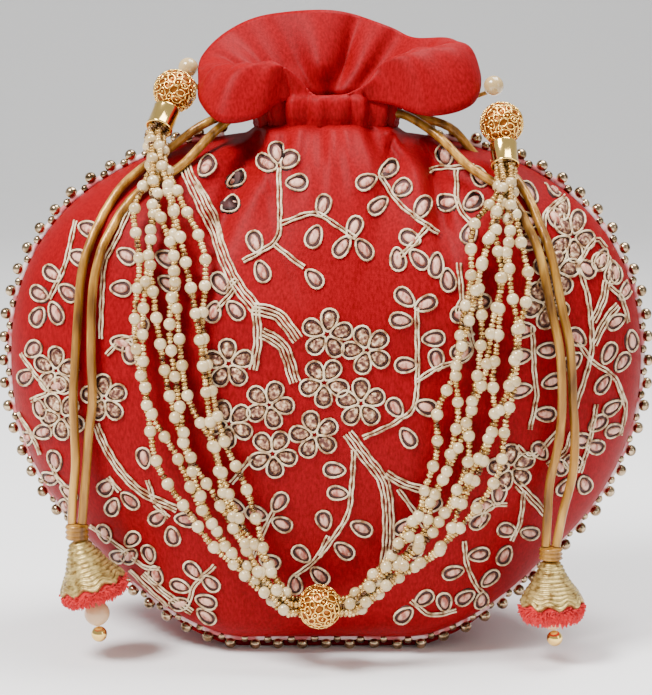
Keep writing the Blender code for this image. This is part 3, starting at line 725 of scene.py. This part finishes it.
def smooth_path(points, count):
    """Points spread evenly along a smooth curve through the given ones."""
    points = [Vector(point) for point in points]
    ends = [2 * points[0] - points[1]] + points + [2 * points[-1] - points[-2]]
    close = []
    for a, b, c, d in zip(ends, ends[1:], ends[2:], ends[3:]):
        close += [on_curve(a, b, c, d, step / 12) for step in range(12)]
    close.append(points[-1])
    lengths = [0.0]
    for a, b in zip(close, close[1:]):
        lengths.append(lengths[-1] + (b - a).length)
    spread, i = [], 0
    for k in range(count):
        want = lengths[-1] * k / (count - 1)
        while i < len(close) - 2 and lengths[i + 1] < want:
            i += 1
        spread.append(close[i].lerp(close[i + 1], (want - lengths[i]) / (lengths[i + 1] - lengths[i])))
    return spread


def path_length(points):
    return sum((b - a).length for a, b in zip(points, points[1:]))


def add_bead(bm, place, along, radius, squash=1.0, segments=12, rings=8):
    """A bead on a thread: a ball, flattened along the thread by squash."""
    turn = Vector((0, 0, 1)).rotation_difference(along).to_matrix().to_4x4()
    shape = Matrix.Diagonal((1, 1, squash, 1))
    matrix = Matrix.Translation(place * MM) @ turn @ shape
    bmesh.ops.create_uvsphere(bm, u_segments=segments, v_segments=rings, radius=radius * MM, matrix=matrix)


def lone_bead(name, place, radius, look, segments, rings=14):
    bm = bmesh.new()
    add_bead(bm, Vector(place), Vector((0, 0, 1)), radius, segments=segments, rings=rings)
    return solid(name, bm, look)


def scatter(size):
    """A small random step, at most half the size along each axis."""
    return Vector((rng.random() - 0.5, rng.random() - 0.5, rng.random() - 0.5)) * size


def seam_spot(angle, out):
    radius = edge_radius(angle) + out
    return Vector((radius * math.cos(angle), -22.4 * base_share(angle), BELLY_Z + radius * math.sin(angle)))


def tube(name, points, diameter, look, sides=3):
    """A round cord as a curve with one open spline."""
    curve = bpy.data.curves.new(name, "CURVE")
    curve.dimensions = "3D"
    curve.bevel_depth = diameter / 2 * MM
    curve.bevel_resolution = sides
    curve.use_fill_caps = True
    line = curve.splines.new("POLY")
    line.points.add(len(points) - 1)
    for spot, point in zip(line.points, points):
        spot.co = (*(point * MM), 1)
    return link(name, curve, look)


first, last = math.radians(66.5), math.radians(-246.5)
seam = [seam_spot(first + (last - first) * i / 100, 0) for i in range(101)]
BEAD_PITCH = 3.75
bead_count = round(path_length(seam) / BEAD_PITCH)
bm = bmesh.new()
places = smooth_path(seam, bead_count)
for i, place in enumerate(places):
    along = (places[min(i + 1, bead_count - 1)] - places[max(i - 1, 0)]).normalized()
    inward = Vector((-place.x, 0, BELLY_Z - place.z)).normalized()
    wander = scatter(0.5)
    if i % 2:
        add_bead(bm, place + inward * 1.2 + wander, along, 1.5, segments=10, rings=7)
    else:
        add_bead(bm, place - inward * 0.5 + wander * 0.7, along, 1.9)
antique = plain("antique_beads", (0.50, 0.42, 0.34), 0.16, 1.0)
mottle(antique, [(0.35, (0.16, 0.10, 0.05)), (0.6, (0.60, 0.45, 0.28))], 500)
belongs(solid("edge_beads", bm, antique), "bag", "edge_beads", "bead_edging")

piping = plain("pale_piping", (0.80, 0.56, 0.56), 0.6)
mottle(piping, [(0.42, (0.55, 0.12, 0.13)), (0.52, (0.85, 0.62, 0.62))], 160)
piping_line = [seam_spot(first + (last - first) * i / 140, -1.5) for i in range(141)]
strip = tube("seam_piping", piping_line, 2.0, piping, 2)
belongs(strip, "bag", "edge_beads")

# ================================================================ drawstrings
# Two loops of gold satin cord run through the channel, one out of each side of it.
# Their ends fall over the shoulders and carry on down to the tassels.

CORD = 2.8
LOOP_HIGH, LOOP_LOW = 171.6, 168.65
SWING_Z = 140.0
CHANNEL_MIDDLE = -1.5  # out from the neck's outline
OFF_CLOTH = 1.9  # from the cloth to a cord's middle


def lies_on(across, height, lift):
    """A point at a distance off the front panel, seen from the front at the given place."""
    x, z = across, height
    for _step in range(10):
        spot, normal = cloth_spot(x, z)
        off = spot + normal * lift
        x += 0.6 * (across - off.x)
        z += 0.6 * (height - off.z)
    return off


def loop_route(side, height, upper, lower):
    """One drawstring: up one shoulder, round the channel and back out beside itself."""
    turns = [math.radians(-22 - 318 / 24 * i) for i in range(25)]
    wide, deep = NECK_X + CHANNEL_MIDDLE, NECK_Y + CHANNEL_MIDDLE
    ring = [(wide * math.cos(t), deep * math.sin(t)) for t in turns]
    ring.append((20.7, 0.4))
    route = [lies_on(*spot, OFF_CLOTH) for spot in reversed(lower[1])]
    route += [Vector(spot) for spot in reversed(lower[0])]
    route += [Vector((side * x, y, height)) for x, y in ring]
    route += [Vector(spot) for spot in upper[0]]
    route += [lies_on(*spot, OFF_CLOTH) for spot in upper[1]]
    return route


LEFT_UPPER = (((-24, -1.4, LOOP_HIGH), (-31, -4, 168.8), (-40, -6.2, 164.8)),
              ((-50, 157.5), (-58, 152), (-64, 146.5), (-68.6, SWING_Z)))
LEFT_LOWER = (((-24, -4.7, LOOP_HIGH), (-30, -8.6, 167.5), (-36, -13, 162.5)),
              ((-45, 153.5), (-54, 148.5), (-59.4, 144.4), (-63, 140.4)))
RIGHT_UPPER = (((24, -1.4, LOOP_LOW), (31, -4.6, 167.4), (40, -6.4, 164)),
               ((50, 157), (57, 151.5), (61.5, 146), (64.4, SWING_Z)))
RIGHT_LOWER = (((24, -4.7, LOOP_LOW), (30, -9.4, 165.8), (36, -14, 161.5)),
               ((44, 153.5), (52, 148.5), (56.4, 145), (59.8, 140.4)))
HANGING = {
    "left": {
        "outer": ((-68.7, -23.4, 139.3), (-72.5, -28.4, 131), (-75.1, -31.4, 121.8), (-76.3, -34.4, 107.3),
                  (-77.3, -35.6, 92.5), (-77.9, -36, 82.4), (-77.5, -36, 63), (-78.6, -36, 52),
                  (-79, -36, 43.8)),
        "inner": ((-63.6, -26.4, 139.3), (-67, -30.2, 133), (-69.3, -33, 127.5), (-71.4, -36, 116.4),
                  (-71.9, -38.2, 98.8), (-71.8, -38, 83), (-73.2, -37, 72), (-74, -36.2, 63),
                  (-75.8, -36, 43.8)),
    },
    "right": {
        "outer": ((64.6, -26.6, 139.3), (68.8, -33, 127.8), (72.3, -37, 110.7), (74.8, -38.2, 98.7),
                  (75.8, -38.6, 82.8), (76.6, -38.2, 72), (76.2, -38, 60), (73.4, -38, 48), (71.4, -38, 37)),
        "inner": ((60.4, -28.8, 139.3), (65.2, -35, 127.8), (68.8, -38.8, 110.7), (71.4, -40.4, 98.7),
                  (72.3, -40.6, 82.8), (71.6, -39.4, 70), (69.2, -38, 57.4), (68.6, -38, 47),
                  (68.2, -38, 37)),
    },
}

satin_cord = plain("gold_satin_cord", (0.62, 0.36, 0.08), 0.32, 0.25)
# Bands along the cord in its colour: the satin's fibre streaks together with painted sheen, dark to bright;
# the same noise also drives the bump.
streak_and_sheen = grain(satin_cord.node_tree, 260, 3, (1, 1, 0.16))
colour_by(satin_cord, streak_and_sheen, [(0.3, (0.10, 0.035, 0.003)), (0.5, (0.34, 0.15, 0.018)),
                                    (0.7, (0.66, 0.36, 0.07))])
bump(satin_cord, streak_and_sheen, 0.7, 0.0008)

for name, side, height, upper, lower in (("drawstring_left", -1, LOOP_HIGH, LEFT_UPPER, LEFT_LOWER),
                                         ("drawstring_right", 1, LOOP_LOW, RIGHT_UPPER, RIGHT_LOWER)):
    ways = HANGING["left" if side < 0 else "right"]
    way_round = loop_route(side, height, upper, lower)
    way_round[0], way_round[-1] = Vector(ways["inner"][0]), Vector(ways["outer"][0])
    route = smooth_path(way_round, 90)
    loop = tube(name + "_cord", route, CORD, satin_cord)
    belongs(loop, "bag", "gold_cord", name)

# ================================================================ tassels
# Each pair of cord ends is knotted into a bell wound from gold thread with a scalloped
# rim, over a ruff of red chenille, a pale ball and a small gold bead.

TASSELS = {
    "left": dict(knot=(-77.4, -36, 38.6), turn=4.8, lean=-18, bell=13.6, rim=10.4, fringe=4.6,
                 ball=(-71.6, -36, 15.0), bead=(-71.0, -36, 8.3)),
    "right": dict(knot=(69.8, -38, 32.6), turn=4.0, lean=-2, bell=12.2, rim=9.8, fringe=5.8,
                  ball=(70.6, -38, 14.2), bead=(71.4, -38, 7.5)),
}

zari = plain("wound_zari", (0.80, 0.62, 0.26), 0.34, 0.55)
mottle(zari, [(0.3, (0.18, 0.09, 0.012)), (0.62, (0.62, 0.46, 0.16))], 600)
roughen(zari, 1400, 1, 0.4, 0.0003)
chenille = plain("red_chenille", (0.62, 0.003, 0.008), 0.85)
chenille.node_tree.nodes["Principled BSDF"].inputs["Sheen Weight"].default_value = 0.15
pearl_ball = plain("peach_pearl", (0.66, 0.42, 0.22), 0.28, 0.0, 0.5)
gold = plain("polished_gold", (0.98, 0.66, 0.20), 0.12, 1.0)


def lathe(name, profile, look, matrix, steps=48, shape=None):
    """A profile of (radius, height) in mm turned about Z, then placed by a matrix."""
    bm = bmesh.new()
    rows = []
    for radius, height in profile:
        row = []
        for k in range(steps):
            t = math.tau * k / steps
            r, h = shape(radius, height, t) if shape else (radius, height)
            row.append(bm.verts.new(matrix @ (Vector((r * math.cos(t), r * math.sin(t), h)) * MM)))
        rows.append(row)
    join_rows(bm, rows)
    bm.faces.new(rows[0])
    bm.faces.new(rows[-1])
    return solid(name, bm, look)


def tilt(place, degrees):
    return Matrix.Translation(Vector(place) * MM) @ Matrix.Rotation(math.radians(degrees), 4, "Y")


TURNS_OF_THREAD = 11
TUFTS = 900

for side, part in TASSELS.items():
    body = "tassel_" + side
    x, y, z = part["knot"]
    tall, long, rim = part["turn"], part["bell"], part["rim"]
    wraps = [(0.4, -0.2), (2.4, 0.0)]
    for k in range(3):
        low = tall * k / 3
        wraps += [(3.3, low + 0.25), (3.75, low + tall / 6), (3.3, low + tall / 3 - 0.1)]
    wraps += [(2.6, tall + 0.1), (0.4, tall + 0.2)]
    knot = lathe(f"knot_{side}", wraps, satin_cord, Matrix.Translation(Vector((x, y, z)) * MM), 24)
    belongs(knot, body, "gold_cord", f"cord_knot_{side}")

    top = -1.0
    outline = [(2.4, top + 0.6), (3.5, top - 1.0), (4.3, top - 3), (5.4, top - 5), (6.6, top - long * 0.56),
               (8.2, top - long * 0.74), (rim, top - long)]
    curve = [Vector((r, 0, h)) for r, h in outline]
    wound = []
    for i, spot in enumerate(smooth_path(curve, TURNS_OF_THREAD * 6 + 1)):
        wound.append((spot.x + 0.6 * abs(math.sin(math.pi * i / 6)) - 0.2, spot.z))
    profile = [(0.3, top + 0.7)] + wound + [(rim - 0.5, top - long - 0.5), (rim - 1.3, top - long + 0.3),
                                            (6.0, top - long * 0.7), (0.3, top - 4)]

    def scallop(r, h, t, top=top, long=long, rim=rim):
        reach = smooth((top - h - long * 0.6) / (long * 0.4))
        wave = math.cos(9 * t)
        return r + 0.35 * reach * wave, h - 0.75 * reach * wave

    place = tilt((x, y, z), part["lean"])
    bell = lathe(f"bell_{side}", profile, zari, place, 72, scallop)
    belongs(bell, body, "zari", f"tassel_bell_{side}")

    low, deep = top - long - 0.6, part["fringe"]
    bm = bmesh.new()
    core = [(4.8, low + 1.2), (rim - 0.9, low + 0.6), (rim - 0.4, low - deep * 0.5),
            (rim - 1.4, low - deep * 0.8), (5.4, low - deep * 0.9), (4.6, low - deep * 0.4)]
    ways = [Vector((math.cos(math.tau * k / 40), math.sin(math.tau * k / 40), 0)) for k in range(40)]
    rows = [[bm.verts.new(place @ ((way * r + Vector((0, 0, h))) * MM)) for way in ways] for r, h in core]
    join_rows(bm, rows + rows[:1])
    for _tuft in range(TUFTS):
        t = math.tau * rng.random()
        share = rng.random()
        rise = math.radians(18 - 130 * share)
        out = Vector((math.cos(t), math.sin(t), 0))
        start = out * (rim - 1.3) + Vector((0, 0, low - deep * (0.1 + 0.6 * share)))
        flow = out * math.cos(rise) + Vector((0, 0, math.sin(rise)))
        flow += scatter(0.6)
        flow = flow.normalized() * (1.5 + 0.9 * rng.random())
        turn = Vector((0, 0, 1)).rotation_difference(flow).to_matrix().to_4x4()
        stand = Matrix.Translation((start + flow * 0.5) * MM) @ turn
        bmesh.ops.create_cone(bm, cap_ends=True, segments=4, radius1=0.42 * MM, radius2=0.16 * MM,
                              depth=flow.length * MM, matrix=place @ stand)
    tuft = solid(f"fringe_{side}", bm, chenille)
    belongs(tuft, body, "chenille", f"tassel_fringe_{side}")

    ball = lone_bead(f"ball_{side}", part["ball"], 4.0, pearl_ball, 28, 18)
    belongs(ball, body, "pearl", f"tassel_ball_{side}")
    end_bead = lone_bead(f"end_bead_{side}", part["bead"], 2.5, gold, 24)
    belongs(end_bead, body, "polished_gold", f"tassel_end_bead_{side}")

    for run in ("outer", "inner"):
        route = smooth_path(HANGING[side][run], 60)
        line = tube(f"line_{side}_{run}", route, CORD, satin_cord)
        skin = bpy.data.meshes.new_from_object(line.evaluated_get(bpy.context.evaluated_depsgraph_get()))
        bpy.data.objects.remove(line)
        hang = link(f"hanging_{side}_{run}", skin)
        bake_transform(hang)
        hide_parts(f"cord_{side}_{run}")

# ================================================================ handle
# Seven strands of pearls and seed beads a side run from a gold cap to the middle ball.
# The gold balls are filigree: scrolls of wire soldered over a hollow core, whose dark colour is painted
# shade of the hollow inside.

BALL_RADIUS, LINK_RADIUS = 7.0, 3.2
CAP_RADIUS, CAP_LENGTH, CAP_BORE = 4.3, 8.4, 3.7
STRAND_PITCH, STRANDS, GAP = 2.5, 7, 0.3
PEARL_ROOM, SEED_ROOM = 3.15, 1.22  # what each takes up on its thread
THREAD = 0.5
LINK = {"left": Vector((-43.8, 3, 183)), "right": Vector((52.8, -5, 177.6))}
END_BALL = {"left": Vector((-47.6, -5, 176.0)), "right": Vector((54.7, -15, 166.3))}
CAP_WAY = {"left": Vector((-0.29, -0.62, -0.73)), "right": Vector((0.035, -0.6, -0.8))}
CENTRE_BALL = Vector((-2.0, -50.0, 21.0))
BUNDLE = {
    "left": ((-51.6, -26.5, 153.5, 3.6), (-50, -35, 142, 7.5), (-48.2, -41.5, 127, 11),
             (-47.4, -45.6, 106, 13), (-44.6, -47.4, 85, 13), (-39.6, -48.2, 69, 12),
             (-33.8, -48.6, 54, 10), (-27.6, -49.2, 42, 8),
             (-20.4, -50, 31.4, 5.4), (-15, -50, 25, 3.4)),
    "right": ((54.6, -33, 145, 3.8), (52.4, -39.6, 135, 7), (51, -43.4, 121, 9.6), (50, -45.6, 107, 11.2),
              (48, -47, 92, 12), (45.6, -47.6, 79, 11.6), (42.6, -48.2, 66, 10.4), (37, -48.6, 54, 9),
              (29.8, -49.2, 42, 7), (19.4, -50, 31.4, 5), (12, -50, 24.6, 3.4)),
}


def cap_point(side, distance):
    return END_BALL[side] + CAP_WAY[side].normalized() * distance


def hexagon(k):
    half = STRAND_PITCH / 2
    tall = STRAND_PITCH * math.sqrt(3) / 2
    left = ((-2 * half, 0), (-half, tall), (-half, -tall))
    return (left + ((0, 0), (half, tall), (half, -tall), (2 * half, 0)))[k]


def bundle_lift(height):
    return 2.3 + 3.4 * smooth((height - 134) / 10)


def strand_route(side, k):
    """Strand k of a side, from inside its cap to inside the centre ball."""
    mouth = BALL_RADIUS + GAP + CAP_LENGTH
    sign = -1 if side == "left" else 1
    stations = [(*cap_point(side, mouth - 2.6), 0), (*cap_point(side, mouth + 0.6), 0),
                (*cap_point(side, mouth + 3.2), 0)]
    stations += BUNDLE[side]
    stations += [(CENTRE_BALL.x + sign * reach, CENTRE_BALL.y, rise, 0)
                 for reach, rise in ((10, 21.3), (6, 21), (1.6, 21))]
    middle = [Vector(spot[:3]) for spot in stations]
    route = []
    for i, spot in enumerate(stations):
        before, after = middle[max(i - 1, 0)], middle[min(i + 1, len(middle) - 1)]
        along = (after - before).normalized()
        side_way = Vector((-along.z, 0, along.x)).normalized()
        out_way = along.cross(side_way).normalized()
        if out_way.y > 0:
            out_way = -out_way
        across, out = hexagon(k)
        fan = smooth((spot[3] - 3) / 4)
        sway = 1.5 * math.sin(1.3 * i + 2.4 * k) + 0.8 * math.sin(2.9 * i + 4.1 * k)
        across = across * (1 - fan) + ((k - 3) / 3 * spot[3] * 0.86 + sway) * fan
        wanted = middle[i] + side_way * across + out_way * out * (1 - fan)
        if spot[3]:
            over = 1.6 * (k % 2) * fan
            cloth = lies_on(wanted.x, wanted.z, bundle_lift(wanted.z) + (out + 2) * (1 - fan) + over)
            wanted.y = min(wanted.y, cloth.y)
        route.append(wanted)
    return route


pearl = plain("seed_pearl", (0.84, 0.76, 0.60), 0.2, 0.0, 0.8)
mottle(pearl, [(0.36, (0.46, 0.31, 0.13)), (0.62, (0.66, 0.50, 0.27))], 160, 1)
seed_gold = plain("gold_seed_bead", (0.80, 0.60, 0.30), 0.2, 0.6, 0.3)
mottle(seed_gold, [(0.34, (0.09, 0.03, 0.004)), (0.48, (0.48, 0.27, 0.06)), (0.64, (0.78, 0.56, 0.24))],
       330, 1)
thread = plain("thread", (0.7, 0.55, 0.35), 0.6)


for side in ("left", "right"):
    for k in range(STRANDS):
        route = smooth_path(strand_route(side, k), 70)
        length = path_length(route)
        steps = smooth_path(route, round(length / 0.25))
        pace = length / (len(steps) - 1)
        round_beads, seeds = bmesh.new(), bmesh.new()
        distance = 1.0
        next_pearl = 5.0 + 7.0 * rng.random()
        while distance < length - 1.2:
            i = min(int(distance / pace), len(steps) - 2)
            along = (steps[i + 1] - steps[i]).normalized()
            if distance >= next_pearl and distance < length - 8:
                place = steps[min(i + round(1.3 / pace), len(steps) - 2)]
                add_bead(round_beads, place, along, 1.85 + 0.12 * rng.random(), segments=14, rings=9)
                distance += PEARL_ROOM
                next_pearl = distance + 3.5 + 1.8 * rng.random()
            else:
                place = steps[i] + scatter(0.35)
                add_bead(seeds, place, along, 0.98 + 0.14 * rng.random(), 0.64, segments=9, rings=6)
                distance += SEED_ROOM
        line = tube(f"thread_{side}_{k + 1}", route, THREAD, thread, 1)
        belongs(line, "handle", "pearl", f"strand_{side}_{k + 1}")
        pearls = solid(f"pearls_{side}_{k + 1}", round_beads, pearl)
        belongs(pearls, "handle", "pearl")
        seed_row = solid(f"seeds_{side}_{k + 1}", seeds, seed_gold)
        belongs(seed_row, "handle", "polished_gold")

filigree = plain("filigree_wire", (0.98, 0.62, 0.16), 0.16, 1.0)
# Painted shade: the core's dark orange-brown stands in for the shade inside the hollow ball.
hollow_shade_gold = plain("filigree_painted_shade_core", (0.34, 0.10, 0.01), 0.4, 0.7)
SCROLLS, WIRE = 84, 0.24


def filigree_ball(name, centre, node_name):
    """Rings and grains of wire over a sphere, with the core, dark with painted shade of the hollow, showing
    between them.
    """
    bm = bmesh.new()
    for k in range(SCROLLS):
        high = 1 - 2 * (k + 0.5) / SCROLLS
        turn = k * math.pi * (3 - math.sqrt(5))
        flat = math.sqrt(1 - high * high)
        way = Vector((flat * math.cos(turn), flat * math.sin(turn), high))
        lean = Vector((0, 0, 1)).rotation_difference(way).to_matrix().to_4x4()
        stand = Matrix.Translation((centre + way * (BALL_RADIUS - 0.35)) * MM) @ lean
        reach = (1.35, 0.95, 1.15)[k % 3]
        ring_row = []
        for a in range(14):
            t = math.tau * a / 14
            section = []
            for b in range(5):
                u = math.tau * b / 5
                out = reach * (1 + 0.18 * math.cos(2 * t + k)) + WIRE * math.cos(u)
                sink = -(out * out) / (2 * BALL_RADIUS) + WIRE * math.sin(u)
                spot = Vector((out * math.cos(t), out * math.sin(t), sink)) * MM
                section.append(bm.verts.new(stand @ spot))
            ring_row.append(section)
        join_rows(bm, ring_row + ring_row[:1])
        if k % 2:
            bmesh.ops.create_uvsphere(bm, u_segments=8, v_segments=5, radius=0.4 * MM, matrix=stand)
    belongs(solid(name + "_wires", bm, filigree), "handle", "filigree", node_name)
    belongs(lone_bead(name + "_core", centre, BALL_RADIUS - 0.85, hollow_shade_gold, 24, 16), "handle", "filigree")


filigree_ball("centre_filigree", CENTRE_BALL, "centre_ball")
anchor_routes = {
    "left": ((-23.4, 1.8, 169), (-32, 6, 171), (-40.6, 8.6, 176), (-44.2, 6.6, 180.6)),
    "right": ((23.4, 1.8, 172), (33, 4.2, 171), (45, 4, 173), (53.4, -0.6, 176.2)),
}
for side in ("left", "right"):
    filigree_ball(f"end_filigree_{side}", END_BALL[side], f"end_ball_{side}")
    way = CAP_WAY[side].normalized()
    stand = Matrix.Translation(cap_point(side, BALL_RADIUS + 0.1) * MM)
    stand = stand @ Vector((0, 0, 1)).rotation_difference(way).to_matrix().to_4x4()
    cup = [(0.3, 0), (3.4, 0), (CAP_RADIUS - 0.3, 0.25), (CAP_RADIUS, 0.7), (CAP_RADIUS - 0.15, 1.2),
           (CAP_RADIUS - 0.15, CAP_LENGTH - 1), (CAP_RADIUS, CAP_LENGTH - 0.6), (CAP_RADIUS, CAP_LENGTH),
           (CAP_BORE, CAP_LENGTH), (CAP_BORE, CAP_LENGTH - 4), (0.3, CAP_LENGTH - 4)]
    belongs(lathe(f"cap_{side}", cup, gold, stand, 40), "handle", "polished_gold", f"end_cap_{side}")
    link_pearl = lone_bead(f"link_pearl_bead_{side}", LINK[side], LINK_RADIUS, pearl, 24)
    belongs(link_pearl, "handle", "pearl", f"link_pearl_{side}")
    anchor = tube(f"anchor_{side}", smooth_path(anchor_routes[side], 24), 1.4, satin_cord, 2)
    belongs(anchor, "bag", "gold_cord", f"handle_anchor_{side}")
